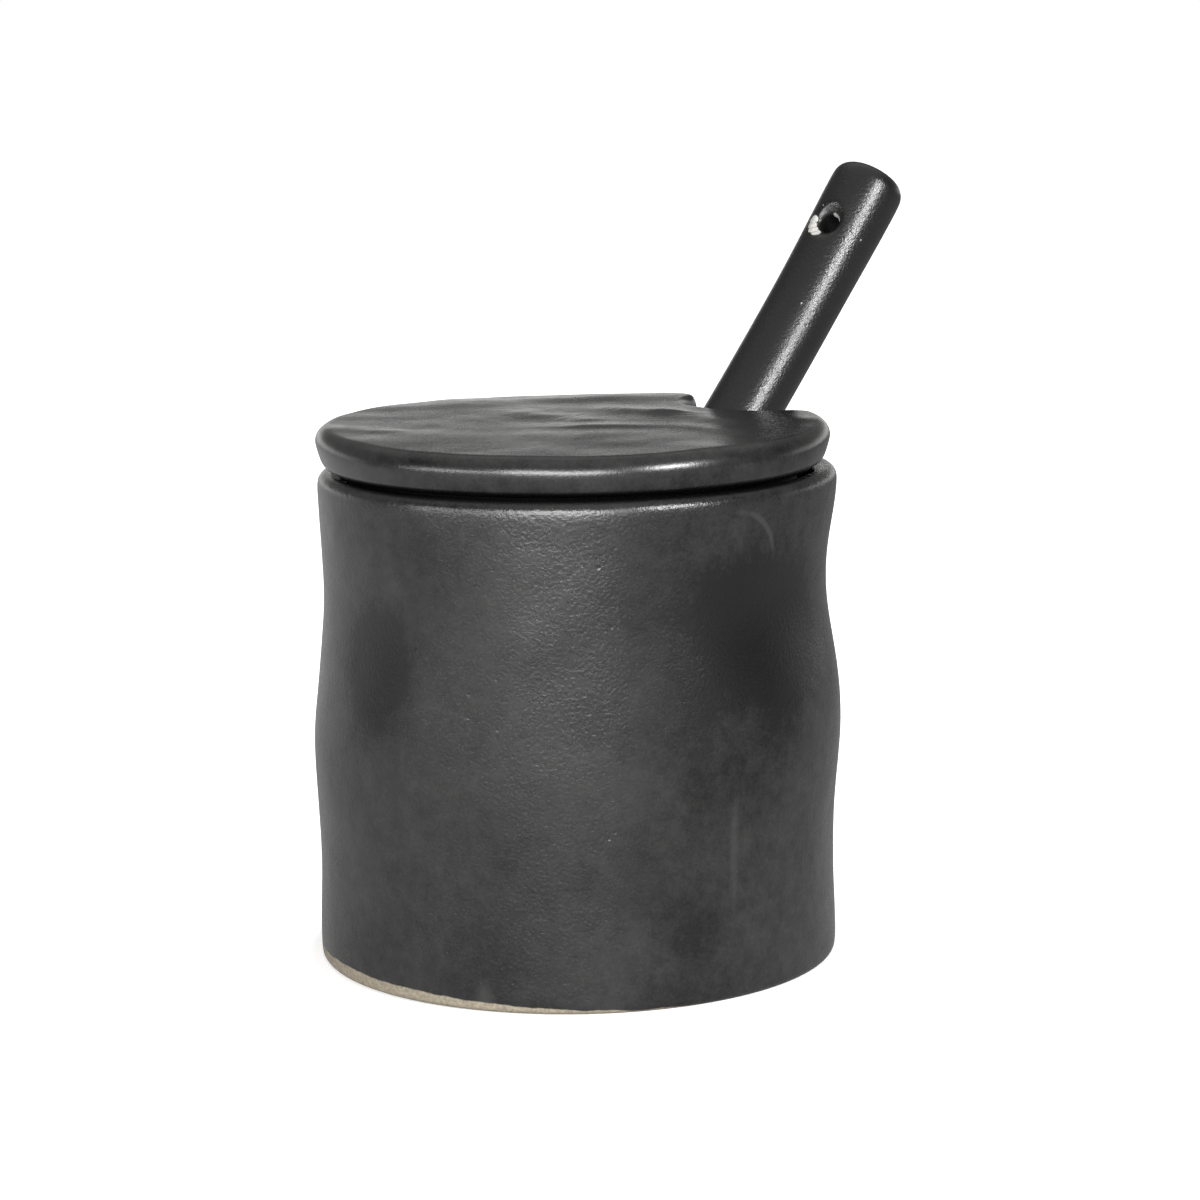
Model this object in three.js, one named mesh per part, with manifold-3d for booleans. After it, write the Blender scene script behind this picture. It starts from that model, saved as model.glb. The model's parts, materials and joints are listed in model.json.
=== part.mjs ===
// Stoneware sugar bowl: a straight jar, a flat slab lid with a scallop at its edge, and a
// spoon whose rod handle leans out through the scallop. Millimetres, +Z up, +X to the right,
// +Y away from the front. The origin is the middle of the jar's base, on the table.
import * as THREE from "three";
import { mergeVertices } from "three/addons/utils/BufferGeometryUtils.js";
import Module from "manifold-3d";

// Jar
const JAR_HEIGHT = 79.8;
const JAR_RADIUS = 42;
const JAR_WALL = 4;
const FLOOR_THICKNESS = 5.5;
const FLOOR_CORNER_RADIUS = 6;
const FOOT_EDGE_RADIUS = 1.2;
// Rings that the potter's hands left round the side: height of each, its spread and its swell
const SIDE_SWELLS = [
  { height: 4, spread: 7, swell: 0.35 }, // foot
  { height: 37, spread: 11, swell: 0.9 }, // belly
  { height: 62, spread: 11, swell: -1.35 }, // waist
];
const FRONT_FULLNESS = 0.05; // the part of each swell left at the front and the back
// Two heights where the jar stands a little out of true towards +X
const SIDE_LEANS = [
  { height: 46, spread: 12, lean: 0.6 },
  { height: 80, spread: 12, lean: 0.65 },
];
// Soft dents where the clay was held: angle from +X and its spread in degrees, height, depth
const SIDE_DENTS = [
  { angle: -140, angleSpread: 18, height: 55, spread: 11, depth: 0.85 },
  { angle: -128, angleSpread: 14, height: 17, spread: 7, depth: 0.45 },
  { angle: -42, angleSpread: 20, height: 62, spread: 12, depth: 0.9 },
];
const JAR_SEGMENTS = 44;

// Lid
const LID_RADIUS = 41.5;
const LID_BOTTOM = 80.1; // 0.3 above the rim it rests on
const LID_TOP = 87;
const LID_EDGE_RADIUS = 3.2;
const LID_OFFSET_X = 0.2; // the lid lies a little off the jar's axis
const LID_MIDDLE_X = -14; // the flat faces fan out from here, clear of the scallop
const NOTCH_ANGLE = 37.5; // degrees from +X: the side that the spoon leans to
const NOTCH_RADIUS = 12.2;
const NOTCH_EDGE_RADIUS = 3.1;
const NOTCH_TOP_REACH = 40.1; // the scallop's centre from the lid's axis, at the lid's top
const NOTCH_SLOPE = 0.8; // the scallop's wall leans out with the handle
const NOTCH_CORNER_LEFT = 4.5; // plan radius of the lid's corner on each side of the scallop
const NOTCH_CORNER_RIGHT = 5;
const FLANGE_RADIUS = 36.2; // ring under the lid that keeps it centred in the jar's mouth
const FLANGE_THICKNESS = 3.2;
const FLANGE_DEPTH = 4.6;
const FLANGE_OPENING = 52; // degrees left open behind the scallop for the handle

// Spoon. Its own axes: x from the bowl's tip along the handle, z out of the bowl's hollow
const HANDLE_RADIUS = 5.9;
const HANDLE_SLOPE = 0.82; // outward travel for each mm of height
const HANDLE_REACH = 39.7; // distance of the handle's axis from the jar's axis at HANDLE_LEVEL
const HANDLE_LEVEL = 90;
const SPOON_ROLL = 19; // degrees about the handle's axis
const SPOON_LENGTH = 151.2;
const TIP_TO_LEVEL = 108; // from the bowl's tip to HANDLE_LEVEL, along the handle
const BEND_START = 98; // the handle is straight up to here, then bends gently upright
const BEND_RATE = 0.0016; // bend per mm of length, rad
const END_FILLET = 3.3;
const END_DOME = 0.7;
const BOWL_MIDDLE = 16; // widest place of the spoon's bowl, from the tip
const BOWL_HALF_WIDTH = 10.6;
const BOWL_HALF_HEIGHT = 5.2;
const NECK_AT = 38;
const NECK_RADIUS = 4.8;
const NECK_TO_ROD = 75;
const HOLLOW_SIZE = [13.4, 8.8, 6.6];
const HOLLOW_CENTRE = [16.2, 0, 4];
const HOLE_FROM_END = 13.8;
const HOLE_RADIUS = 1.7;
const HOLE_MOUTH_RADIUS = 3.3;
const HOLE_CHAMFER = 1.1;
const ROD_SIDES = 20;

const wasm = await Module();
wasm.setup();

const rad = THREE.MathUtils.degToRad;
const lerp = THREE.MathUtils.lerp;
const smooth = THREE.MathUtils.smoothstep;
const bump = (distance, spread) => Math.exp(-((distance / spread) ** 2));

// A closed skin over rings of points, each a point (a pole) or the same number of points.
function loft(rings) {
  const positions = [];
  const faces = [];
  const starts = rings.map((ring) => {
    const start = positions.length / 3;
    ring.forEach((p) => positions.push(p.x, p.y, p.z));
    return start;
  });
  for (let k = 0; k + 1 < rings.length; k++) {
    const count = Math.max(rings[k].length, rings[k + 1].length);
    for (let i = 0; i < count; i++) {
      const j = (i + 1) % count;
      const near = rings[k].length === 1 ? [starts[k], starts[k]] : [starts[k] + i, starts[k] + j];
      const next = starts[k + 1];
      const far = rings[k + 1].length === 1 ? [next, next] : [next + i, next + j];
      if (near[0] !== near[1]) faces.push(near[0], near[1], far[1]);
      if (far[0] !== far[1]) faces.push(near[0], far[1], far[0]);
    }
  }
  const geometry = new THREE.BufferGeometry();
  geometry.setAttribute("position", new THREE.Float32BufferAttribute(positions, 3));
  geometry.setIndex(faces);
  return geometry;
}

// A geometry as a solid that can be joined and cut.
function solid(geometry) {
  const bare = geometry.clone();
  bare.deleteAttribute("normal");
  bare.deleteAttribute("uv");
  const merged = mergeVertices(bare, 1e-4);
  const triVerts = new Uint32Array(merged.index.array);
  const vertProperties = merged.attributes.position.array;
  return new wasm.Manifold(new wasm.Mesh({ numProp: 3, vertProperties, triVerts }));
}

function geometryOf(body) {
  const mesh = body.getMesh();
  const geometry = new THREE.BufferGeometry();
  geometry.setAttribute("position", new THREE.BufferAttribute(mesh.vertProperties, 3));
  geometry.setIndex(new THREE.BufferAttribute(mesh.triVerts, 1));
  geometry.computeVertexNormals();
  return geometry;
}

// Outer radius of the jar at an angle from +X, in radians, and a height.
function jarRadius(angle, height) {
  let radius = JAR_RADIUS;
  const fullness = FRONT_FULLNESS + (1 - FRONT_FULLNESS) * Math.cos(angle) ** 2;
  for (const ring of SIDE_SWELLS)
    radius += ring.swell * fullness * bump(height - ring.height, ring.spread);
  for (const place of SIDE_LEANS)
    radius += place.lean * Math.cos(angle) * bump(height - place.height, place.spread);
  for (const dent of SIDE_DENTS) {
    const away = Math.atan2(Math.sin(angle - rad(dent.angle)), Math.cos(angle - rad(dent.angle)));
    radius -=
      dent.depth * bump(away, rad(dent.angleSpread)) * bump(height - dent.height, dent.spread);
  }
  return radius;
}

// One ring of the jar: everything at a height, a distance inside the outer surface.
function jarRing(height, inset, sideHeight = height) {
  return Array.from({ length: JAR_SEGMENTS }, (_, i) => {
    const angle = (i / JAR_SEGMENTS) * 2 * Math.PI;
    const radius = jarRadius(angle, sideHeight) - inset;
    return new THREE.Vector3(radius * Math.cos(angle), radius * Math.sin(angle), height);
  });
}

// The jar: base, rounded foot, side, full-round rim, inner wall and rounded floor corner.
function jarGeometry() {
  const rimRadius = JAR_WALL / 2;
  const rimCentre = JAR_HEIGHT - rimRadius;
  const rings = [[new THREE.Vector3(0, 0, 0)]];
  rings.push(jarRing(0, 14, 0));
  for (const turn of [0, 30, 60, 90]) {
    const inset = FOOT_EDGE_RADIUS * (1 - Math.sin(rad(turn)));
    rings.push(jarRing(FOOT_EDGE_RADIUS * (1 - Math.cos(rad(turn))), inset));
  }
  const sideSteps = 15;
  for (let k = 1; k <= sideSteps; k++)
    rings.push(jarRing(lerp(FOOT_EDGE_RADIUS, rimCentre, k / sideSteps), 0));
  for (let turn = 30; turn <= 180; turn += 30) {
    const inset = rimRadius * (1 - Math.cos(rad(turn)));
    rings.push(jarRing(rimCentre + rimRadius * Math.sin(rad(turn)), inset, rimCentre));
  }
  const cornerTop = FLOOR_THICKNESS + FLOOR_CORNER_RADIUS;
  const innerSteps = 7;
  for (let k = 1; k <= innerSteps; k++)
    rings.push(jarRing(lerp(rimCentre, cornerTop, k / innerSteps), JAR_WALL));
  for (const turn of [30, 60, 90]) {
    const inset = JAR_WALL + FLOOR_CORNER_RADIUS * (1 - Math.cos(rad(turn)));
    const height = cornerTop - FLOOR_CORNER_RADIUS * Math.sin(rad(turn));
    rings.push(jarRing(height, inset, cornerTop));
  }
  rings.push([new THREE.Vector3(0, 0, FLOOR_THICKNESS)]);
  return loft(rings);
}

// Plan outline of the lid, its scallop towards +X: the outer edge drawn in by inset, the
// scallop drawn back by notchInset, and a round corner on each side between the two.
function lidOutline(height, inset, notchInset) {
  const outer = LID_RADIUS - inset;
  const notch = NOTCH_RADIUS + notchInset;
  const reach = NOTCH_TOP_REACH - NOTCH_SLOPE * (LID_TOP - height);
  const corner = (radius) => {
    const fromLid = outer - radius;
    const fromNotch = notch + radius;
    const x = (fromLid ** 2 + reach ** 2 - fromNotch ** 2) / (2 * reach);
    return { x, y: Math.sqrt(fromLid ** 2 - x ** 2), radius };
  };
  const drawn = (inset + notchInset) / 2;
  const left = corner(NOTCH_CORNER_LEFT - drawn);
  const right = corner(NOTCH_CORNER_RIGHT - drawn);
  right.y = -right.y;
  const arc = (cx, cy, radius, from, to, steps) =>
    Array.from({ length: steps }, (_, i) => {
      const angle = lerp(from, to, i / steps);
      return [cx + radius * Math.cos(angle), cy + radius * Math.sin(angle)];
    });
  const leftOut = Math.atan2(left.y, left.x);
  const rightOut = Math.atan2(right.y, right.x);
  const leftIn = Math.atan2(left.y, left.x - reach);
  const rightIn = Math.atan2(right.y, right.x - reach);
  const turn = 2 * Math.PI;
  const plan = [
    ...arc(0, 0, outer, leftOut, rightOut + turn, 36),
    ...arc(right.x, right.y, right.radius, rightOut, rightIn + Math.PI, 6),
    ...arc(reach, 0, notch, rightIn + turn, leftIn, 14),
    ...arc(left.x, left.y, left.radius, leftIn - Math.PI, leftOut, 6),
  ];
  return plan.map(([x, y]) => new THREE.Vector3(x, y, height));
}

// The lid's slab: flat underside, nearly full-round edge, flat top.
function lidSlab() {
  const edge = [];
  const addEdge = (turn, height) => {
    const drawn = 1 - Math.cos(rad(turn));
    edge.push(lidOutline(height, LID_EDGE_RADIUS * drawn, NOTCH_EDGE_RADIUS * drawn));
  };
  const fall = (turn) => LID_EDGE_RADIUS * (1 - Math.sin(rad(turn)));
  for (const turn of [90, 65, 40, 18, 0]) addEdge(turn, LID_BOTTOM + fall(turn));
  for (const turn of [0, 18, 40, 65, 90]) addEdge(turn, LID_TOP - fall(turn));
  const pole = (height) => new THREE.Vector3(LID_MIDDLE_X, 0, height);
  const halfway = (ring, height) => ring.map((p) => p.clone().lerp(pole(height), 0.5));
  return loft([
    [pole(LID_BOTTOM)],
    halfway(edge[0], LID_BOTTOM),
    ...edge,
    halfway(edge[edge.length - 1], LID_TOP),
    [pole(LID_TOP)],
  ]);
}

// The ring under the lid, open behind the scallop.
function lidFlange() {
  const edgeRound = 0.8;
  const outer = FLANGE_RADIUS - edgeRound;
  const inner = FLANGE_RADIUS - FLANGE_THICKNESS + edgeRound;
  const from = rad(FLANGE_OPENING / 2);
  const to = 2 * Math.PI - from;
  const plan = new THREE.Shape();
  plan.absarc(0, 0, outer, from, to, false);
  plan.absarc(0, 0, inner, to, from, true);
  plan.closePath();
  const joinDepth = 1.5;
  const geometry = new THREE.ExtrudeGeometry(plan, {
    depth: FLANGE_DEPTH - edgeRound + joinDepth - edgeRound,
    bevelEnabled: true,
    bevelThickness: edgeRound,
    bevelSize: edgeRound,
    bevelSegments: 2,
    curveSegments: 32,
  });
  return geometry.translate(0, 0, LID_BOTTOM - FLANGE_DEPTH + edgeRound);
}

// Half width and half height of the spoon, a distance from the bowl's tip: a half ellipse up
// to the bowl's widest place, then an easy run into the neck and on into the round rod.
function spoonSection(along) {
  const fore = Math.max(0, (BOWL_MIDDLE - along) / BOWL_MIDDLE);
  const tip = Math.sqrt(1 - fore ** 2);
  const toNeck = smooth(along, BOWL_MIDDLE, NECK_AT);
  const rod = lerp(NECK_RADIUS, HANDLE_RADIUS, smooth(along, NECK_AT, NECK_TO_ROD));
  const width = tip * lerp(BOWL_HALF_WIDTH, rod, toNeck);
  const height = tip * lerp(BOWL_HALF_HEIGHT, rod, toNeck);
  return { width, height };
}

// How far the handle has bent at a distance along it: its turn and its rise.
function handleBend(along) {
  const past = Math.max(0, along - BEND_START);
  return { tilt: BEND_RATE * past, lift: 0.5 * BEND_RATE * past ** 2 };
}

// A ring across the spoon, following the handle's bend.
function spoonRing(along, width, height) {
  const { tilt, lift } = handleBend(along);
  return Array.from({ length: ROD_SIDES }, (_, i) => {
    const angle = (i / ROD_SIDES) * 2 * Math.PI;
    const y = width * Math.cos(angle);
    const z = height * Math.sin(angle);
    return new THREE.Vector3(along - z * Math.sin(tilt), y, lift + z * Math.cos(tilt));
  });
}

// The spoon in its own axes: oval bowl, neck, rod handle with a rounded end and a hang hole.
function spoonBody() {
  const rings = [spoonRing(0, 0, 0).slice(0, 1)];
  const filletStart = SPOON_LENGTH - END_FILLET - END_DOME;
  const tipTurns = [15, 30, 45, 60, 75];
  const stations = tipTurns.map((turn) => BOWL_MIDDLE * (1 - Math.cos(rad(turn))));
  for (let along = BOWL_MIDDLE; along < NECK_AT; along += 4) stations.push(along);
  for (let along = NECK_AT; along < BEND_START; along += 12) stations.push(along);
  for (let along = BEND_START; along < filletStart; along += 10) stations.push(along);
  for (const along of [...stations, filletStart]) {
    const { width, height } = spoonSection(along);
    rings.push(spoonRing(along, width, height));
  }
  for (const turn of [25, 50, 75]) {
    const radius = HANDLE_RADIUS - END_FILLET * (1 - Math.cos(rad(turn)));
    rings.push(spoonRing(filletStart + END_FILLET * Math.sin(rad(turn)), radius, radius));
  }
  rings.push(spoonRing(SPOON_LENGTH, 0, 0).slice(0, 1));

  const hollow = new THREE.SphereGeometry(1, 24, 16);
  hollow.scale(...HOLLOW_SIZE);
  hollow.translate(...HOLLOW_CENTRE);

  return solid(loft(rings)).subtract(solid(hollow)).subtract(solid(handleHole()));
}

// The hang hole's space: a round bore that flares at both mouths.
function handleHole() {
  const bore = HANDLE_RADIUS - HOLE_CHAMFER;
  const flareRate = (HOLE_MOUTH_RADIUS - HOLE_RADIUS) / HOLE_CHAMFER;
  const reach = HANDLE_RADIUS + 4;
  const flare = HOLE_RADIUS + flareRate * (reach - bore);
  const outline = [
    [0, -reach],
    [flare, -reach],
    [HOLE_RADIUS, -bore],
    [HOLE_RADIUS, bore],
    [flare, reach],
    [0, reach],
  ];
  const profile = outline.map(([radius, along]) => new THREE.Vector2(radius, along));
  const hole = new THREE.LatheGeometry(profile, 16);
  const holeAt = SPOON_LENGTH - HOLE_FROM_END;
  const { tilt, lift } = handleBend(holeAt);
  hole.rotateX(Math.PI / 2);
  hole.rotateY(-tilt);
  hole.translate(holeAt, 0, lift);
  return hole;
}

const charcoalGlaze = () =>
  new THREE.MeshStandardMaterial({ color: 0x4b4a49, roughness: 0.42, metalness: 0 });

const sugarBowl = new THREE.Group();

const jar = new THREE.Mesh(jarGeometry(), charcoalGlaze());
jar.name = "jar";
sugarBowl.add(jar);

const lid = new THREE.Mesh(geometryOf(solid(lidSlab()).add(solid(lidFlange()))), charcoalGlaze());
lid.name = "lid";
lid.position.x = LID_OFFSET_X;
lid.rotation.z = rad(NOTCH_ANGLE);
sugarBowl.add(lid);

// The spoon leans in the upright plane through the jar's axis and the scallop.
const leanPlane = new THREE.Group();
leanPlane.rotation.z = rad(NOTCH_ANGLE);
const handleTilt = Math.atan(HANDLE_SLOPE);
const spoonLean = new THREE.Group();
const tipX = HANDLE_REACH - TIP_TO_LEVEL * Math.sin(handleTilt);
const tipZ = HANDLE_LEVEL - TIP_TO_LEVEL * Math.cos(handleTilt);
spoonLean.position.set(tipX, 0, tipZ);
spoonLean.rotation.y = handleTilt - Math.PI / 2;
const spoon = new THREE.Mesh(
  geometryOf(spoonBody()),
  new THREE.MeshStandardMaterial({ color: 0x3a3837, roughness: 0.34, metalness: 0 }),
);
spoon.name = "spoon";
spoon.rotation.x = rad(SPOON_ROLL);
spoonLean.add(spoon);
leanPlane.add(spoonLean);
sugarBowl.add(leanPlane);

export default sugarBowl;
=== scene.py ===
import json
import math

import bpy
from mathutils import Euler, Matrix, Vector


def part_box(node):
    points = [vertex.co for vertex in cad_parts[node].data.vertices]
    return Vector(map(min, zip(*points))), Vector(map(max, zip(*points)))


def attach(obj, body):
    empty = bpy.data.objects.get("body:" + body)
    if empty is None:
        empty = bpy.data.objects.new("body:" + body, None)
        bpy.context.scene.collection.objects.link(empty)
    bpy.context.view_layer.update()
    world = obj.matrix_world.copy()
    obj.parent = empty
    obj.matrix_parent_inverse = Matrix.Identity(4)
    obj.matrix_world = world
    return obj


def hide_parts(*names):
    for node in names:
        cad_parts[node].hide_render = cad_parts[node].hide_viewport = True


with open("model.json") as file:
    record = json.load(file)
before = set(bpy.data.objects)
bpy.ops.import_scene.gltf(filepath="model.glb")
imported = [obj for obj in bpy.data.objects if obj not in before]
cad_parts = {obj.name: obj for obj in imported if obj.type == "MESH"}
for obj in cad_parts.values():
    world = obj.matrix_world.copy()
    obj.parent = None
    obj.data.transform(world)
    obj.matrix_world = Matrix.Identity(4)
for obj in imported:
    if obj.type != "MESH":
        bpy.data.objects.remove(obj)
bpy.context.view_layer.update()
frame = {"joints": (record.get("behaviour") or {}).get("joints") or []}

# ---------------------------------------------------------------------------------------
# Camera and studio. A white sweep in a white room, lit low at the back and overhead. A broad
# low panel in front draws the bright lines along the rims, one at the left lights the jar's
# side, and one at the right draws the bright band down the handle.
# ---------------------------------------------------------------------------------------
scene = bpy.context.scene
scene.view_settings.view_transform = "Standard"

CAMERA_PLACE = (0.00425, -0.560, 0.1528)
CAMERA_PITCH = math.radians(9.643)
CAMERA_ROLL = math.radians(0.78)
CAMERA_LENS = 104.84
SENSOR_WIDTH = 36
CAMERA_REACH = 50
camera = bpy.data.objects.new("camera", bpy.data.cameras.new("camera"))
scene.collection.objects.link(camera)
camera.data.lens = CAMERA_LENS
camera.data.sensor_width = SENSOR_WIDTH
camera.data.clip_end = CAMERA_REACH
camera.location = CAMERA_PLACE
level = Euler((math.pi / 2 - CAMERA_PITCH, 0, 0)).to_matrix()
camera.rotation_euler = (level @ Matrix.Rotation(-CAMERA_ROLL, 3, "Z")).to_euler()
scene.camera = camera


def add_node(tree, kind, values=(), **settings):
    """A shader node with its sockets' values and its own settings filled in."""
    made = tree.nodes.new(kind)
    for name, value in settings.items():
        setattr(made, name, value)
    for socket, value in dict(values).items():
        if isinstance(value, bpy.types.NodeSocket):
            tree.links.new(value, made.inputs[socket])
        else:
            made.inputs[socket].default_value = value
    return made


def ramp(tree, value, low, high, start, end, curve="LINEAR"):
    """Turns a value between low and high into one between start and end."""
    values = {"Value": value, "From Min": low, "From Max": high, "To Min": start, "To Max": end}
    return add_node(tree, "ShaderNodeMapRange", values, interpolation_type=curve).outputs["Result"]


def math_node(tree, operation, *values):
    return add_node(tree, "ShaderNodeMath", dict(enumerate(values)), operation=operation).outputs[0]


def mix_colour(tree, share, first, second):
    return add_node(tree, "ShaderNodeMix", {0: share, 6: first, 7: second}, data_type="RGBA").outputs[2]


def mix_value(tree, share, first, second):
    return add_node(tree, "ShaderNodeMix", {0: share, 2: first, 3: second}, data_type="FLOAT").outputs[0]


FLOOR_SIZE = 8
SWEEP_ROUGHNESS = 0.9
SWEEP_SPECULAR = 0.1
SWEEP_WHITE = (0.9, 0.9, 0.9, 1)
SWEEP_GREY = (0.25, 0.25, 0.25, 1)  # as the pot's glaze mirrors it
# How strongly the sweep glows, which is painted light: from a place to a place in metres, from a
# strength to a strength. The glow is dimmed round the foot as a painted contact shadow, and where
# the glaze mirrors the sweep it glows brighter to the left
FOOT_SHADE = (0.0435, 0.048, 0.35, 0.9)
OPEN_SWEEP = (0.06, 0.5, 0.0, 0.14)
SIDE_GLOW = (-0.3, 0.25, 0.42, 0.06)
# How bright the room is: from a direction to a direction, from a strength to a strength
BACK_WALL = (0.1, 0.6, 0.03, 1.0)
LOW_WALL = (0.1, 0.175, 1.25, 0.18)
CEILING = (0.5, 0.9, 0.0, 0.62)
ROOM_TINT = (1, 0.995, 0.985, 1)
WHITE = (1, 1, 1, 1)
# Lights: place, what it faces, width and height, all in metres, and power in watts
LIGHTS = {
    "low_strip": ((-0.17, -1.3, 0.36), (0, 0, 0.08), (1.14, 0.34), 27),
    "left_strip": ((-1.1, -0.75, 0.29), (0, 0, 0.08), (0.9, 0.12), 6),
    "right_strip": ((0.84, -0.86, 0.55), (0, 0, 0.1), (0.3, 0.24), 17),
}

floor_mesh = bpy.data.meshes.new("sweep")
corners = [(x * FLOOR_SIZE / 2, y * FLOOR_SIZE / 2, 0) for x, y in ((-1, -1), (1, -1), (1, 1), (-1, 1))]
floor_mesh.from_pydata(corners, [], [(0, 1, 2, 3)])
floor = bpy.data.objects.new("sweep", floor_mesh)
scene.collection.objects.link(floor)
sweep_white = bpy.data.materials.new("sweep_white")
sweep_white.use_nodes = True
sweep_tree = sweep_white.node_tree
sweep_shader = sweep_tree.nodes["Principled BSDF"]
sweep_shader.inputs["Roughness"].default_value = SWEEP_ROUGHNESS
sweep_shader.inputs["Specular IOR Level"].default_value = SWEEP_SPECULAR
sweep_shader.inputs["Emission Color"].default_value = WHITE
sweep_place = add_node(sweep_tree, "ShaderNodeTexCoord").outputs["Object"]
from_pot = add_node(sweep_tree, "ShaderNodeVectorMath", {0: sweep_place}, operation="LENGTH").outputs["Value"]
# Painted contact shadow: the sweep's glow is dimmed in a ring round the jar's foot
painted_foot_shadow = ramp(sweep_tree, from_pot, *FOOT_SHADE, "SMOOTHSTEP")
camera_sweep_glow = math_node(sweep_tree, "ADD", painted_foot_shadow, ramp(sweep_tree, from_pot, *OPEN_SWEEP))
sweep_ways = add_node(sweep_tree, "ShaderNodeSeparateXYZ", {"Vector": sweep_place})
# Painted reflection: as the glaze mirrors it, the sweep glows brighter to the left than to the right
side_glow = ramp(sweep_tree, sweep_ways.outputs["X"], *SIDE_GLOW, "SMOOTHSTEP")
sweep_seen = add_node(sweep_tree, "ShaderNodeLightPath").outputs["Is Camera Ray"]
sweep_glow = mix_value(sweep_tree, sweep_seen, side_glow, camera_sweep_glow)
sweep_tint = mix_colour(sweep_tree, sweep_seen, SWEEP_GREY, SWEEP_WHITE)
sweep_tree.links.new(sweep_tint, sweep_shader.inputs["Base Color"])
sweep_tree.links.new(sweep_glow, sweep_shader.inputs["Emission Strength"])
floor_mesh.materials.append(sweep_white)

room = bpy.data.worlds.new("room")
scene.world = room
room.use_nodes = True
sky = room.node_tree
sky.nodes.clear()
direction = add_node(sky, "ShaderNodeTexCoord").outputs["Generated"]
facing_ways = add_node(sky, "ShaderNodeSeparateXYZ", {"Vector": direction})
back_wall = ramp(sky, facing_ways.outputs["Y"], *BACK_WALL, "SMOOTHSTEP")
low_wall = ramp(sky, facing_ways.outputs["Z"], *LOW_WALL, "SMOOTHSTEP")
ceiling = ramp(sky, facing_ways.outputs["Z"], *CEILING, "SMOOTHSTEP")
brightness = math_node(sky, "ADD", math_node(sky, "MULTIPLY", back_wall, low_wall), ceiling)
room_light = add_node(sky, "ShaderNodeBackground", {"Color": ROOM_TINT, "Strength": brightness})
room_white = add_node(sky, "ShaderNodeBackground", {"Color": WHITE, "Strength": 1.0})
seen = add_node(sky, "ShaderNodeLightPath").outputs["Is Camera Ray"]
room_parts = {0: seen, 1: room_light.outputs[0], 2: room_white.outputs[0]}
room_mix = add_node(sky, "ShaderNodeMixShader", room_parts)
add_node(sky, "ShaderNodeOutputWorld", {"Surface": room_mix.outputs[0]})

for name, (place, aim, size, power) in LIGHTS.items():
    lamp = bpy.data.lights.new(name, "AREA")
    lamp.shape = "RECTANGLE"
    lamp.size, lamp.size_y = size
    lamp.energy = power
    panel = bpy.data.objects.new(name, lamp)
    scene.collection.objects.link(panel)
    panel.location = place
    panel.rotation_euler = (Vector(aim) - Vector(place)).to_track_quat("-Z", "Y").to_euler()

# ---------------------------------------------------------------------------------------
# Jar. A straight pot thrown in dark stoneware, its side left softly swelled and dented by
# the potter's hands, satin charcoal glaze inside and out, wiped off in a thin line at the
# foot so that the pale clay shows. It stands on its flat base.
# ---------------------------------------------------------------------------------------
MM = 0.001
JAR_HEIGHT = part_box("jar")[1].z / MM
JAR_RADIUS = 42
JAR_WALL = 4
FLOOR_THICKNESS = 5.5
FLOOR_CORNER_RADIUS = 6
FOOT_EDGE_RADIUS = 1.2
# Each swell runs round the jar: its height, the spread of the height, how far it stands out
SIDE_SWELLS = ((4, 7, 0.35), (37, 11, 0.9), (62, 11, -1.35))
FRONT_FULLNESS = 0.05  # share of a swell that is left at the front and back
# Where the jar stands out of true towards +X: height, spread, how far
SIDE_LEANS = ((46, 12, 0.6), (80, 12, 0.65))
# Dents: degrees from +X, their spread, height, its spread, depth
SIDE_DENTS = (
    (-140, 18, 58, 11, 0.85),
    (-128, 14, 20, 7, 0.45),
    (-42, 20, 62, 12, 0.9),
    (0, 20, 78, 10, -0.4),
)
JAR_SEGMENTS = 80
SIDE_STEPS = 22
INNER_STEPS = 10
EDGE_STEPS = 3  # steps in the foot's edge, and in each half of the rim
FLOOR_CORNER_STEPS = 4
FINENESS = 2  # how many times every cage is divided and smoothed
BASE_INSETS = (28, 12, 3)  # rings of the flat base, from the middle out
FLOOR_INSET = 26
# Where the hand-worked unevenness fades out: distance from the base and the rim, and over how far
FADE_AT_BASE = (3, 8)
FADE_AT_RIM = (1, 5)
# Unevenness of the side: size of a feature and its depth
HAND_PRESSURE = (17, 0.28)
THROWN_WOBBLE = (6, 0.05)


def bump(distance, spread):
    return math.exp(-((distance / spread) ** 2))


def jar_radius(angle, height):
    """Outer radius in millimetres at an angle from +X, in radians, and a height."""
    radius = JAR_RADIUS
    fullness = FRONT_FULLNESS + (1 - FRONT_FULLNESS) * math.cos(angle) ** 2
    for middle, spread, swell in SIDE_SWELLS:
        radius += swell * bump(height - middle, spread) * fullness
    for middle, spread, lean in SIDE_LEANS:
        radius += lean * math.cos(angle) * bump(height - middle, spread)
    for turn, turn_spread, middle, spread, depth in SIDE_DENTS:
        away = math.remainder(angle - math.radians(turn), math.tau)
        radius -= depth * bump(away, math.radians(turn_spread)) * bump(height - middle, spread)
    return radius


def jar_ring(height, inset, side_height=None):
    """The jar's outline at a height, drawn in by the inset."""
    side_height = height if side_height is None else side_height
    ring = []
    for i in range(JAR_SEGMENTS):
        angle = math.tau * i / JAR_SEGMENTS
        radius = jar_radius(angle, side_height) - inset
        ring.append(Vector((radius * math.cos(angle), radius * math.sin(angle), height)))
    return ring


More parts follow.
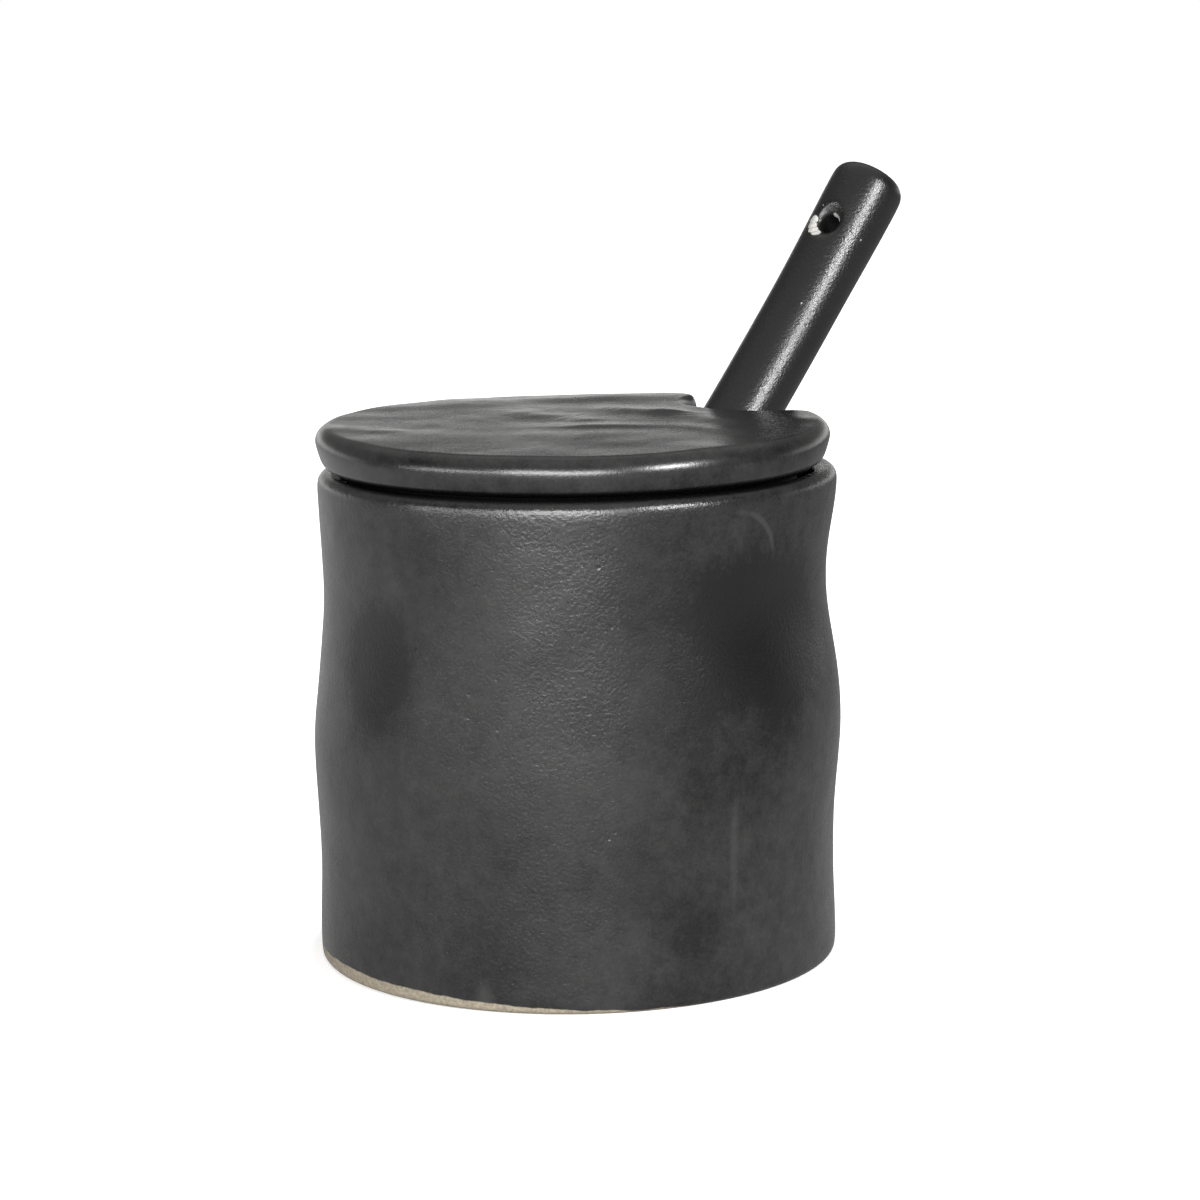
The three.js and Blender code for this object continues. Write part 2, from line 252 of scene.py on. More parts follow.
def cage(name, rings):
    """A closed mesh over rings of points in millimetres; a ring of one point is a pole."""
    points = []
    faces = []
    starts = []
    for ring in rings:
        starts.append(len(points))
        points.extend(p * MM for p in ring)
    for k in range(len(rings) - 1):
        count = max(len(rings[k]), len(rings[k + 1]))
        for i in range(count):
            j = (i + 1) % count
            near = (i, j) if len(rings[k]) > 1 else (0,)
            far = (j, i) if len(rings[k + 1]) > 1 else (0,)
            faces.append([starts[k] + n for n in near] + [starts[k + 1] + n for n in far])
    mesh = bpy.data.meshes.new(name)
    mesh.from_pydata(points, [], faces)
    mesh.validate()
    mesh.polygons.foreach_set("use_smooth", [True] * len(mesh.polygons))
    piece = bpy.data.objects.new(name, mesh)
    scene.collection.objects.link(piece)
    return piece


def smooth_cage(piece):
    finer = piece.modifiers.new("finer", "SUBSURF")
    finer.levels = FINENESS
    finer.render_levels = FINENESS


def hand_made(piece, name, feature, depth, where):
    """Soft unevenness of hand-worked clay: size of a feature, its depth in mm, and where."""
    clouds = bpy.data.textures.new(name, "CLOUDS")
    clouds.noise_scale = feature * MM
    clouds.noise_depth = 1
    uneven = piece.modifiers.new(name, "DISPLACE")
    uneven.texture = clouds
    uneven.texture_coords = "LOCAL"
    uneven.strength = depth * MM
    uneven.mid_level = 0.5
    uneven.vertex_group = where


def within(value):
    return min(1, max(0, value))


def angle_steps(steps, whole=math.pi / 2):
    """Angles over a quarter turn, or over the angle given, without the first one."""
    return [whole * k / steps for k in range(1, steps + 1)]


rim_radius = JAR_WALL / 2
rim_middle = JAR_HEIGHT - rim_radius
corner_top = FLOOR_THICKNESS + FLOOR_CORNER_RADIUS
jar_rings = [[Vector((0, 0, 0))]] + [jar_ring(0, inset, 0) for inset in BASE_INSETS]
for turn in [0] + angle_steps(EDGE_STEPS):
    height = FOOT_EDGE_RADIUS * (1 - math.cos(turn))
    jar_rings.append(jar_ring(height, FOOT_EDGE_RADIUS * (1 - math.sin(turn))))
for k in range(1, SIDE_STEPS + 1):
    jar_rings.append(jar_ring(FOOT_EDGE_RADIUS + (rim_middle - FOOT_EDGE_RADIUS) * k / SIDE_STEPS, 0))
for turn in angle_steps(2 * EDGE_STEPS, math.pi):
    inset = rim_radius * (1 - math.cos(turn))
    jar_rings.append(jar_ring(rim_middle + rim_radius * math.sin(turn), inset, rim_middle))
for k in range(1, INNER_STEPS + 1):
    jar_rings.append(jar_ring(rim_middle + (corner_top - rim_middle) * k / INNER_STEPS, JAR_WALL))
for turn in angle_steps(FLOOR_CORNER_STEPS):
    inset = JAR_WALL + FLOOR_CORNER_RADIUS * (1 - math.cos(turn))
    jar_rings.append(jar_ring(corner_top - FLOOR_CORNER_RADIUS * math.sin(turn), inset, corner_top))
jar_rings.append(jar_ring(FLOOR_THICKNESS, FLOOR_INSET, corner_top))
jar_rings.append([Vector((0, 0, FLOOR_THICKNESS))])
jar = cage("stoneware_jar", jar_rings)
side = jar.vertex_groups.new(name="side")
for v in jar.data.vertices:
    above_base = v.co.z / MM - FADE_AT_BASE[0]
    below_rim = JAR_HEIGHT - FADE_AT_RIM[0] - v.co.z / MM
    hold = within(above_base / FADE_AT_BASE[1]) * within(below_rim / FADE_AT_RIM[1])
    side.add([v.index], hold, "REPLACE")
smooth_cage(jar)
hand_made(jar, "hand_pressure", *HAND_PRESSURE, "side")
hand_made(jar, "thrown_wobble", *THROWN_WOBBLE, "side")


def on_side(angle, height):
    """A place on the jar's side: degrees from +X and height in millimetres, given in metres."""
    turn = math.radians(angle)
    return Vector((JAR_RADIUS * math.cos(turn), JAR_RADIUS * math.sin(turn), height)) * MM


def spot(tree, place, angle, height, across, tall, amount):
    """A soft spot on the jar's side: where it is, its half width and height in mm, strength."""
    away = {0: place, 1: on_side(angle, height)}
    away = add_node(tree, "ShaderNodeVectorMath", away, operation="SUBTRACT").outputs[0]
    away = {0: away, 1: (1, 1, across / tall)}
    away = add_node(tree, "ShaderNodeVectorMath", away, operation="MULTIPLY").outputs[0]
    distance = add_node(tree, "ShaderNodeVectorMath", {0: away}, operation="LENGTH").outputs["Value"]
    return ramp(tree, distance, 0.0, across * MM, amount, 0.0, "SMOOTHERSTEP")


def painted_highlight_arc(tree, place, middle, radius, width, seen, amount):
    """A thin painted highlight line, part of a circle round a place on the side, shown only inside a spot."""
    away = {0: place, 1: on_side(*middle)}
    away = add_node(tree, "ShaderNodeVectorMath", away, operation="DISTANCE").outputs["Value"]
    off = math_node(tree, "ABSOLUTE", math_node(tree, "SUBTRACT", away, radius * MM))
    line = ramp(tree, off, 0.0, width * MM, amount, 0.0, "SMOOTHERSTEP")
    return math_node(tree, "MULTIPLY", line, spot(tree, place, *seen, 1.0))


# Patterns in the glaze: scale, detail and roughness of the noise, and share in the tone
CLOUDS = (45.0, 4.0, 0.55)
MOTTLE = (380.0, 5.0, 0.65)
GRAIN = (1900.0, 3.0, 0.6)
CLOUD_SHARE = 0.75
MOTTLE_SHARE = 0.5
GRAIN_SHARE = 0.35
TONE_RANGE = (0.6, 1.05)  # tone of the darkest and of the palest glaze
DULLER = 0.07  # change in roughness where the glaze is dark, and where it is pale
GLOSSIER = 0.04
SHADOW_BLACK = (0.002, 0.002, 0.002, 1)
# Relief of the glaze: depth of grain, orange peel and pinholes, and the pinholes' size
GRAIN_DEPTH = 0.7
PEEL_DEPTH = 0.35
PIT_DEPTH = 0.3
PIT_SCALE = 210.0
PIT_SIZE = (0.03, 0.08)
# The wiped foot, in metres: left and right ends, height of the bare clay at each
FOOT_LINE = (-0.036, 0.03, 0.0026, -0.0003)
FOOT_WAVER = (150.0, 3.0, 0.55)
FOOT_WAVER_HEIGHT = 0.0012
BASE_LINE = 0.0002  # the base itself is bare all over
FOOT_LINE_EDGE = (-0.00008, 0.00012)
SAND_RANGE = (0.3, 0.7)
CLAY_SHADES = ((0.15, 0.125, 0.09, 1), (0.27, 0.24, 0.185, 1))
CLAY_ROUGHNESS = 0.9
# Flakes of missing glaze, and one painted highlight in the hang hole: ragged edge in metres, soft edge in mm,
# tint, roughness
FLAKE_RAGGED = 0.0006
FLAKE_EDGE = (0.25, 0.35)
FLAKE_AND_GLINT_TINT = (1, 0.98, 0.93)
FLAKE_ROUGHNESS = 0.85
GLAZE_IOR = 1.5


def stoneware_glaze(
    name, dark, light, roughness, shade_and_pale_patches=(), painted_arcs=(), foot_line=False, painted_shade_heights=None, flake_and_glint_marks=(), relief_depth=0.1
):
    """Satin stoneware glaze: cloudy tone, fine mottling, orange-peel and a few pinholes, with the painted
    shade, painted highlights and flakes that it is given.
    """
    glaze = bpy.data.materials.new(name)
    glaze.use_nodes = True
    tree = glaze.node_tree
    shader = tree.nodes["Principled BSDF"]
    place = add_node(tree, "ShaderNodeTexCoord").outputs["Object"]

    def noise(scale, detail, rough):
        values = {"Vector": place, "Scale": scale, "Detail": detail, "Roughness": rough}
        return add_node(tree, "ShaderNodeTexNoise", values).outputs["Fac"]

    clouds = noise(*CLOUDS)
    mottle = noise(*MOTTLE)
    grain = noise(*GRAIN)
    tone = math_node(tree, "MULTIPLY", clouds, CLOUD_SHARE)
    tone = math_node(tree, "MULTIPLY_ADD", mottle, MOTTLE_SHARE, tone)
    tone = math_node(tree, "MULTIPLY_ADD", grain, GRAIN_SHARE, tone)
    # Painted shade and paler patches, subtracted from the tone
    for where in shade_and_pale_patches:
        tone = math_node(tree, "SUBTRACT", tone, spot(tree, place, *where))
    # Painted highlight: thin pale lines added to the tone
    for where in painted_arcs:
        tone = math_node(tree, "ADD", tone, painted_highlight_arc(tree, place, *where))
    shade = ramp(tree, tone, *TONE_RANGE, 0.0, 1.0)
    colour = mix_colour(tree, shade, (*dark, 1), (*light, 1))
    dullness = ramp(tree, tone, *TONE_RANGE, roughness + DULLER, roughness - GLOSSIER)
    ways = add_node(tree, "ShaderNodeSeparateXYZ", {"Vector": place})
    # Painted shade: between the two heights the glaze turns to painted black, where lid, rim and ring shade
    # each other
    if painted_shade_heights:
        shadowed = ramp(tree, ways.outputs["Z"], painted_shade_heights[0] * MM, painted_shade_heights[1] * MM, 0.0, 1.0)
        colour = mix_colour(tree, shadowed, colour, SHADOW_BLACK)
    pinholes = {"Vector": place, "Scale": PIT_SCALE}
    pinholes = add_node(tree, "ShaderNodeTexVoronoi", pinholes).outputs["Distance"]
    pits = ramp(tree, pinholes, *PIT_SIZE, -1.0, 0.0)
    relief = math_node(tree, "MULTIPLY", mottle, PEEL_DEPTH)
    relief = math_node(tree, "MULTIPLY_ADD", grain, GRAIN_DEPTH, relief)
    relief = math_node(tree, "MULTIPLY_ADD", pits, PIT_DEPTH, relief)
    if foot_line:
        line = ramp(tree, ways.outputs["X"], *FOOT_LINE)
        line = math_node(tree, "MULTIPLY_ADD", noise(*FOOT_WAVER), FOOT_WAVER_HEIGHT, line)
        line = math_node(tree, "SUBTRACT", line, FOOT_WAVER_HEIGHT / 2)
        line = math_node(tree, "MAXIMUM", line, BASE_LINE)
        above = math_node(tree, "SUBTRACT", line, ways.outputs["Z"])
        bare = ramp(tree, above, *FOOT_LINE_EDGE, 0.0, 1.0)
        sand = ramp(tree, grain, *SAND_RANGE, 0.0, 1.0)
        colour = mix_colour(tree, bare, colour, mix_colour(tree, sand, *CLAY_SHADES))
        dullness = mix_value(tree, bare, dullness, CLAY_ROUGHNESS)
    # Pale marks: flakes of missing glaze, and painted highlight where one is given
    for middle, radius, pale in flake_and_glint_marks:
        away = {0: place, 1: middle}
        away = add_node(tree, "ShaderNodeVectorMath", away, operation="DISTANCE").outputs["Value"]
        away = math_node(tree, "MULTIPLY_ADD", mottle, FLAKE_RAGGED, away)
        inner, outer = [(radius + edge) * MM for edge in FLAKE_EDGE]
        flake_and_glint_mask = ramp(tree, away, inner, outer, 1.0, 0.0)
        colour = mix_colour(tree, flake_and_glint_mask, colour, (*[pale * tint for tint in FLAKE_AND_GLINT_TINT], 1))
        dullness = mix_value(tree, flake_and_glint_mask, dullness, FLAKE_ROUGHNESS)
        relief = math_node(tree, "MULTIPLY_ADD", flake_and_glint_mask, -1.0, relief)
    relief = {"Height": relief, "Strength": 1.0, "Distance": relief_depth * MM}
    skin = add_node(tree, "ShaderNodeBump", relief)
    tree.links.new(colour, shader.inputs["Base Color"])
    tree.links.new(dullness, shader.inputs["Roughness"])
    tree.links.new(skin.outputs["Normal"], shader.inputs["Normal"])
    shader.inputs["IOR"].default_value = GLAZE_IOR
    return glaze


GLAZE_SHADES = ((0.003, 0.0029, 0.0029), (0.026, 0.0255, 0.0252))
GLAZE_ROUGHNESS = 0.23
# Painted shade: the jar's glaze is painted black from 78.9 mm up to 79.5 mm and above, at the rim under the
# lid
JAR_SEAT = (78.9, 79.5)  # heights between which the glaze goes into the lid's deep shade
# Patches painted into the glaze's tone, darker (+) or paler (-): the dark ones are painted shade
# over the dents and on the right of the front. Degrees from +X, height, half width and half
# height in mm, strength
PAINTED_SHADE_AND_PALE_PATCHES = (
    (-139, 53, 14, 16, 0.45),
    (-127, 17, 11, 10, 0.12),
    (-40, 56, 17, 23, 0.45),
    (-57, 58, 16, 20, 0.3),
    (-66, 14, 11, 11, 0.2),
    (-104, 62, 14, 16, -0.15),
    (-104, 46, 13, 12, -0.12),
    (-54.5, 24, 1.2, 17, -0.2),
    (-113, 74, 0.9, 3, -0.3),
    (-110, 3, 2.5, 4, -0.3),
)
# A painted highlight along the upper edge of a dent near the rim: centre, radius, half width, the spot that
# it shows in, strength
PAINTED_HIGHLIGHT_ARCS = (((-53.2, 67.5), 9.1, 0.75, (-45.5, 73, 9, 9), 0.4),)
jar.data.materials.append(
    stoneware_glaze(
        "charcoal_glaze_jar", *GLAZE_SHADES, GLAZE_ROUGHNESS, PAINTED_SHADE_AND_PALE_PATCHES, PAINTED_HIGHLIGHT_ARCS, True, JAR_SEAT
    )
)
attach(jar, "jar")
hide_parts("jar")

# ---------------------------------------------------------------------------------------
# Lid. A slab of the same clay cut round, its edge rolled almost full-round with a wet
# sponge, a scallop cut for the handle, glazed all over. A ring underneath sits inside the
# jar's mouth; the lid only rests there.
# ---------------------------------------------------------------------------------------
REST_GAP = 0.3
LID_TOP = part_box("lid")[1].z / MM
LID_BOTTOM = JAR_HEIGHT + REST_GAP
LID_RADIUS = 41.5
SEAT_DROP = 0.24  # how far the underside comes down to the rim, so that no light shows between
EDGE_WIDEST = 3.2  # height of the edge's widest place over the underside
TOP_ROUND = 2.3
UNDERSIDE_INSETS = (4.3, 2.6)
# The rolled lower edge: height over the underside, how far it is drawn in
LOWER_EDGE = ((0.0, 1.75), (0.25, 1.35), (0.5, 0.95), (0.8, 0.55), (1.3, 0.3), (2.2, 0.12))
LID_OFFSET_X = 0.2
LID_MIDDLE_X = -14
NOTCH_ANGLE = math.radians(37.5)
NOTCH_RADIUS = 12.2
NOTCH_TOP_REACH = 40.1
NOTCH_SLOPE = 0.8
NOTCH_CORNERS = (4.5, 5)
NOTCH_SOFTNESS = 0.85  # the scallop's top edge is rounded a little less than the rim's
RIM_STEPS = 56
CORNER_STEPS = 8
NOTCH_STEPS = 20
ROLL_STEPS = 7
UNDER_RINGS = 6
TOP_RINGS = 14
FIRST_RING = 0.35  # the first ring of a face lies this close to its edge, in steps


def arc(middle, radius, start, end, steps):
    """Points along an arc, without its last one."""
    turns = [start + (end - start) * i / steps for i in range(steps)]
    return [(middle[0] + radius * math.cos(t), middle[1] + radius * math.sin(t)) for t in turns]


def lid_outline(height, inset, notch_inset):
    """The lid's outline at a height, its scallop towards +X, drawn in by the two insets."""
    outer = LID_RADIUS - inset
    notch = NOTCH_RADIUS + notch_inset
    reach = NOTCH_TOP_REACH - NOTCH_SLOPE * (LID_TOP - height)
    drawn = (inset + notch_inset) / 2
    corners = []
    for side_sign, radius in zip((1, -1), NOTCH_CORNERS):
        rounded = radius - drawn
        from_lid = outer - rounded
        x = (from_lid**2 + reach**2 - (notch + rounded) ** 2) / (2 * reach)
        y = side_sign * math.sqrt(from_lid**2 - x**2)
        outward = math.atan2(y, x)
        inward = math.atan2(y, x - reach)
        corners.append(((x, y), rounded, outward, inward))
    (left, left_round, left_out, left_in), (right, right_round, right_out, right_in) = corners
    plan = arc((0, 0), outer, left_out, right_out + math.tau, RIM_STEPS)
    plan += arc(right, right_round, right_out, right_in + math.pi, CORNER_STEPS)
    plan += arc((reach, 0), notch, right_in + math.tau, left_in, NOTCH_STEPS)
    plan += arc(left, left_round, left_in - math.pi, left_out, CORNER_STEPS)
    return [Vector((x, y, height)) for x, y in plan]


def placed_on_lid(p):
    """From the lid's own axes, scallop towards +X, to the way that it lies on the jar."""
    return Matrix.Rotation(NOTCH_ANGLE, 3, "Z") @ p + Vector((LID_OFFSET_X, 0, 0))


def lid_cap(ring, height, steps):
    """Rings from the lid's edge to the point that its face fans out from."""
    middle = Vector((LID_MIDDLE_X, 0, height))
    shares = [(k + FIRST_RING) / steps for k in range(steps)]
    return [[p.lerp(middle, share) for p in ring] for share in shares] + [[middle]]


# Soft ridges that the cloth left in the slab: from, to, half width and height, in mm
SLAB_RIDGES = (
    ((5, 17), (16, 8), 2.3, 0.42),
    ((15, 9), (24, -1), 2.2, 0.38),
    ((-20, 28), (7, 32), 3.4, 0.34),
    ((-8, 10), (2, 1), 2.3, 0.28),
    ((2, -7), (12, -7), 2.2, 0.24),
    ((17, -8), (25, -14), 2.2, 0.28),
    ((-38, -6), (-29, -10), 2.2, 0.2),
    ((36, 0), (39, -4), 1.8, 0.3),
    ((-30, 20), (-12, 24), 3.6, 0.24),
)
# The whole face: its lift, how far it falls to the front, and to the back from a line on
FACE_LIFT = 0.3
FRONT_DROP = 1.1
BACK_FALL_FROM = 6
BACK_DROP = 0.5
# A soft hump beside the scallop: middle, half width, height
LOBE_MIDDLE = Vector((18, 34))
LOBE_SPREAD = 9
LOBE_HEIGHT = 0.5
WARP_START = 0.3  # height over the widest place where the face's unevenness sets in
# Finer waves: size and depth, height over the underside where they set in, and over how far
SLAB_WAVE = (16, 0.45)
WAVE_START = (2.5, 3)
# Ends of the slab where the lower edge is sponged away at a slant: angle, half spread, lift
SLANTED_ENDS = ((180, 28, 1.3), (0, 28, 1.2))
SLANT_INWARD = 0.6  # how far the slant draws the lower edge in, for each mm of lift


def edge_slant(p):
    """How far the edge's widest place is lifted at a place round the lid."""
    turn = math.degrees(math.atan2(p.y, p.x))
    return sum(lift * bump((turn - at + 180) % 360 - 180, spread) for at, spread, lift in SLANTED_ENDS)


def lid_warp(p):
    """How far the slab's top lies above true at a place."""
    here = Vector((p.x, p.y))
    lift = FACE_LIFT - FRONT_DROP * ((LID_RADIUS - p.y) / (2 * LID_RADIUS)) ** 2
    lift -= BACK_DROP * (max(0, p.y - BACK_FALL_FROM) / LID_RADIUS) ** 2
    lift += LOBE_HEIGHT * bump((here - LOBE_MIDDLE).length, LOBE_SPREAD)
    for start, end, spread, height in SLAB_RIDGES:
        start = Vector(start)
        run = Vector(end) - start
        share = within((here - start).dot(run) / run.length_squared)
        lift += height * bump((here - start - run * share).length, spread)
    return lift


widest = LID_BOTTOM + EDGE_WIDEST
top_rise = LID_TOP - widest
seat_height = LID_BOTTOM - SEAT_DROP
lid_edge = [lid_outline(seat_height, inset, inset) for inset in UNDERSIDE_INSETS]
for height, inset in LOWER_EDGE:
    lid_edge.append(lid_outline(LID_BOTTOM + height, inset, inset))
for turn in [0] + angle_steps(ROLL_STEPS):
    inset = TOP_ROUND * (1 - math.cos(turn))
    lid_edge.append(lid_outline(widest + top_rise * math.sin(turn), inset, inset * NOTCH_SOFTNESS))
lid_rings = lid_cap(lid_edge[0], seat_height, UNDER_RINGS)[::-1] + lid_edge
lid_rings += lid_cap(lid_edge[-1], LID_TOP, TOP_RINGS)
lid_points = [[placed_on_lid(p) for p in ring] for ring in lid_rings]
for ring in lid_points:
    for p in ring:
        over = p.z - widest
        slant = edge_slant(p)
        lifted = slant * max(0, 1 - over / top_rise if over > 0 else 1 + over / EDGE_WIDEST)
        drawn_in = 1 - SLANT_INWARD * slant * within(-over / EDGE_WIDEST) / LID_RADIUS
        p.x *= drawn_in
        p.y *= drawn_in
        p.z += lifted + lid_warp(p) * within((over - WARP_START) / (top_rise - WARP_START))
lid = cage("stoneware_lid", lid_points)
upper = lid.vertex_groups.new(name="upper")
for v in lid.data.vertices:
    rise = v.co.z / MM - LID_BOTTOM - WAVE_START[0]
    upper.add([v.index], within(rise / WAVE_START[1]), "REPLACE")
smooth_cage(lid)
hand_made(lid, "slab_wave", *SLAB_WAVE, "upper")
# Painted shade: the lid's glaze is painted black from 81 mm down to 80.4 mm and below, along its lower edge
# and underside
LID_SEAT = (81.0, 80.4)
LID_RELIEF = 0.035  # the lid's glaze lies smoother than the jar's
lid.data.materials.append(
    stoneware_glaze(
        "charcoal_glaze_lid", *GLAZE_SHADES, GLAZE_ROUGHNESS, painted_shade_heights=LID_SEAT, relief_depth=LID_RELIEF
    )
)
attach(lid, "lid")
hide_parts("lid")

# ---------------------------------------------------------------------------------------
# Locating ring. A ring of the same clay joined to the lid's underside while wet and fired in
# one with it, open behind the scallop so that the handle passes. Its glaze is rubbed matt, and
# its top is painted black as painted shade under the lid.
# ---------------------------------------------------------------------------------------
FLANGE_RADIUS = 36.2
FLANGE_THICKNESS = 3.2
FLANGE_DEPTH = 4.6
FLANGE_OPENING = math.radians(52)
FLANGE_JOIN = 0.8
FLANGE_STEPS = 60
FLANGE_CORNER = 1.2
FLANGE_FOOT = 0.55  # half width of its flat foot, as a share of its half thickness
FLANGE_END_INSET = 0.7
RING_ROUGHNESS = 0.75
# Painted shade: the ring's glaze is painted black from 78.2 mm up to 78.8 mm and above, where it shows under
# the lid
RING_SEAT = (78.2, 78.8)
RING_SPECULAR = 0.08
flange_top = LID_BOTTOM + FLANGE_JOIN
flange_bottom = LID_BOTTOM - FLANGE_DEPTH
flange_middle = FLANGE_RADIUS - FLANGE_THICKNESS / 2
flange_rings = []
for i in range(FLANGE_STEPS + 1):
    turn = FLANGE_OPENING / 2 + (math.tau - FLANGE_OPENING) * i / FLANGE_STEPS
    radial = Vector((math.cos(turn), math.sin(turn), 0))
    section = []
    for across, height in (
        (-1, flange_top),
        (-1, flange_bottom + FLANGE_CORNER),
        (-FLANGE_FOOT, flange_bottom),
        (FLANGE_FOOT, flange_bottom),
        (1, flange_bottom + FLANGE_CORNER),
        (1, flange_top),
    ):
        p = radial * (flange_middle + across * FLANGE_THICKNESS / 2)
        p.z = height
        section.append(p)
    if i in (0, FLANGE_STEPS):
        middle = sum(section, Vector()) / len(section)
        ends = [[middle], [middle.lerp(p, FLANGE_END_INSET) for p in section], section]
        flange_rings += ends if i == 0 else ends[::-1]
    else:
        flange_rings.append(section)
flange = cage("lid_locating_ring", [[placed_on_lid(p) for p in ring] for ring in flange_rings[::-1]])
smooth_cage(flange)
ring_glaze = stoneware_glaze("charcoal_glaze_ring", *GLAZE_SHADES, RING_ROUGHNESS, painted_shade_heights=RING_SEAT)
ring_shader = ring_glaze.node_tree.nodes["Principled BSDF"]
ring_shader.inputs["Specular IOR Level"].default_value = RING_SPECULAR
flange.data.materials.append(ring_glaze)
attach(flange, "lid")
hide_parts("lid")

# ---------------------------------------------------------------------------------------
# Spoon. Rolled and carved from one piece of the same stoneware: round rod handle with a
# hang hole drilled near its end, a slight upward bend, a neck, and an oval bowl. It stands
# loose in the jar and leans on the rim. The glaze has crawled off the hole's mouth, and a
# highlight is painted inside the hole.
# ---------------------------------------------------------------------------------------
handle_axis = Vector(next(j["axis"] for j in frame["joints"] if j["child"] == "spoon")).normalized()
HANDLE_RADIUS = 6.1
HANDLE_REACH = 39.7
HANDLE_LEVEL = 90
SPOON_ROLL = math.radians(19)
SPOON_LENGTH = 150.9
TIP_TO_LEVEL = 108
BEND_START = 98
BEND_RATE = 0.0016
END_FILLET = 3.0
END_SWELL = 0.35  # the handle thickens a little towards its end
END_SWELL_LENGTH = 26
END_DOME = 0.7
END_RING = (0.25, 1.6)  # last ring of the handle's end: distance from the very end, radius
BOWL_MIDDLE = 16
BOWL_HALF_WIDTH = 10.6
BOWL_HALF_HEIGHT = 5.2
NECK_AT = 38
NECK_RADIUS = 4.8
NECK_TO_ROD = 75
HOLLOW_SIZE = (13.4, 8.8, 6.6)
HOLLOW_MIDDLE = Vector((16.2, 0, 4))
HOLE_FROM_END = 13.5
HOLE_RADIUS = 1.7
HOLE_MOUTH_RADIUS = 3.3
HOLE_CHAMFER = 1.1
HOLE_SIDES = 32
PAST_FACE = 3  # how far the drill's cone runs past the handle's face
HOLLOW_STEPS = 20
ROD_SIDES = 24
BOWL_STEPS = 7
BOWL_STATION = 3  # from ring to ring behind the bowl's middle, then along the handle
BOWL_STATIONS = 7
ROD_STATION = 6
ROD_STATIONS = 18
FILLET_STEPS = 4

lean = math.atan2(handle_axis.y, handle_axis.x)
at_level = Vector((HANDLE_REACH * math.cos(lean), HANDLE_REACH * math.sin(lean), HANDLE_LEVEL))
sideways = Vector((-math.sin(lean), math.cos(lean), 0))
facing = handle_axis.cross(sideways)
unrolled = Matrix((handle_axis, sideways, facing)).transposed()
spoon_turn = unrolled @ Matrix.Rotation(SPOON_ROLL, 3, "X")
spoon_tip = at_level - handle_axis * TIP_TO_LEVEL


def placed_on_spoon(p):
    """From the spoon's own axes, tip to handle along x, to the place where it leans."""
    return spoon_turn @ p + spoon_tip


def ease(value, low, high):
    share = within((value - low) / (high - low))
    return share * share * (3 - 2 * share)


def spoon_section(along):
    """Half the spoon's width and half its height at a distance from the bowl's tip."""
    fore = max(0, (BOWL_MIDDLE - along) / BOWL_MIDDLE)
    tip = math.sqrt(1 - fore**2)
    to_neck = ease(along, BOWL_MIDDLE, NECK_AT)
    rod = NECK_RADIUS + (HANDLE_RADIUS - NECK_RADIUS) * ease(along, NECK_AT, NECK_TO_ROD)
    rod += END_SWELL * ease(along, SPOON_LENGTH - END_SWELL_LENGTH, SPOON_LENGTH - END_FILLET)
    width = tip * (BOWL_HALF_WIDTH + (rod - BOWL_HALF_WIDTH) * to_neck)
    height = tip * (BOWL_HALF_HEIGHT + (rod - BOWL_HALF_HEIGHT) * to_neck)
    return width, height


def handle_bend(along):
    """The handle's tilt and lift at a distance from the bowl's tip."""
    past = max(0, along - BEND_START)
    return BEND_RATE * past, 0.5 * BEND_RATE * past**2


def on_bend(along, y, z):
    tilt, lift = handle_bend(along)
    return Vector((along - z * math.sin(tilt), y, lift + z * math.cos(tilt)))


def spoon_ring(along, width, height):
    turns = [math.tau * i / ROD_SIDES for i in range(ROD_SIDES)]
    return [on_bend(along, width * math.cos(t), height * math.sin(t)) for t in turns]


fillet_start = SPOON_LENGTH - END_FILLET - END_DOME
stations = [BOWL_MIDDLE * (1 - math.cos(t)) for t in angle_steps(BOWL_STEPS)]
stations += [BOWL_MIDDLE + BOWL_STATION * k for k in range(1, BOWL_STATIONS + 1)]
stations += [NECK_AT + ROD_STATION * k for k in range(ROD_STATIONS)]
spoon_rings = [[Vector((0, 0, 0))]]
for along in stations + [fillet_start]:
    spoon_rings.append(spoon_ring(along, *spoon_section(along)))
for turn in angle_steps(FILLET_STEPS)[:-1]:
    radius = HANDLE_RADIUS + END_SWELL - END_FILLET * (1 - math.cos(turn))
    spoon_rings.append(spoon_ring(fillet_start + END_FILLET * math.sin(turn), radius, radius))
spoon_rings.append(spoon_ring(SPOON_LENGTH - END_RING[0], END_RING[1], END_RING[1]))
spoon_rings.append([on_bend(SPOON_LENGTH, 0, 0)])
spoon = cage("stoneware_spoon", [[placed_on_spoon(p) for p in ring] for ring in spoon_rings])
smooth_cage(spoon)


def apply_stack(piece):
    finished = bpy.data.meshes.new_from_object(piece.evaluated_get(bpy.context.evaluated_depsgraph_get()))
    piece.modifiers.clear()
    piece.data = finished


def cut_away(piece, cutter):
    """Cuts the cutter's space out of the piece and removes the cutter."""
    cut = piece.modifiers.new("cut", "BOOLEAN")
    cut.object = cutter
    cut.solver = "EXACT"
    apply_stack(piece)
    bpy.data.objects.remove(cutter)


def turned(name, profile, place, steps):
    """A solid turned from (radius, height) points about its z axis, then put in place."""
    rings = []
    for radius, height in profile:
        count = steps if radius > 0 else 1
        turns = [math.tau * i / count for i in range(count)]
        rings.append([place(Vector((radius * math.cos(t), radius * math.sin(t), height))) for t in turns])
    return cage(name, rings)


def ball_profile(steps):
    turns = angle_steps(steps, math.pi)[:-1]
    return [(0, -1)] + [(math.sin(t), -math.cos(t)) for t in turns] + [(0, 1)]


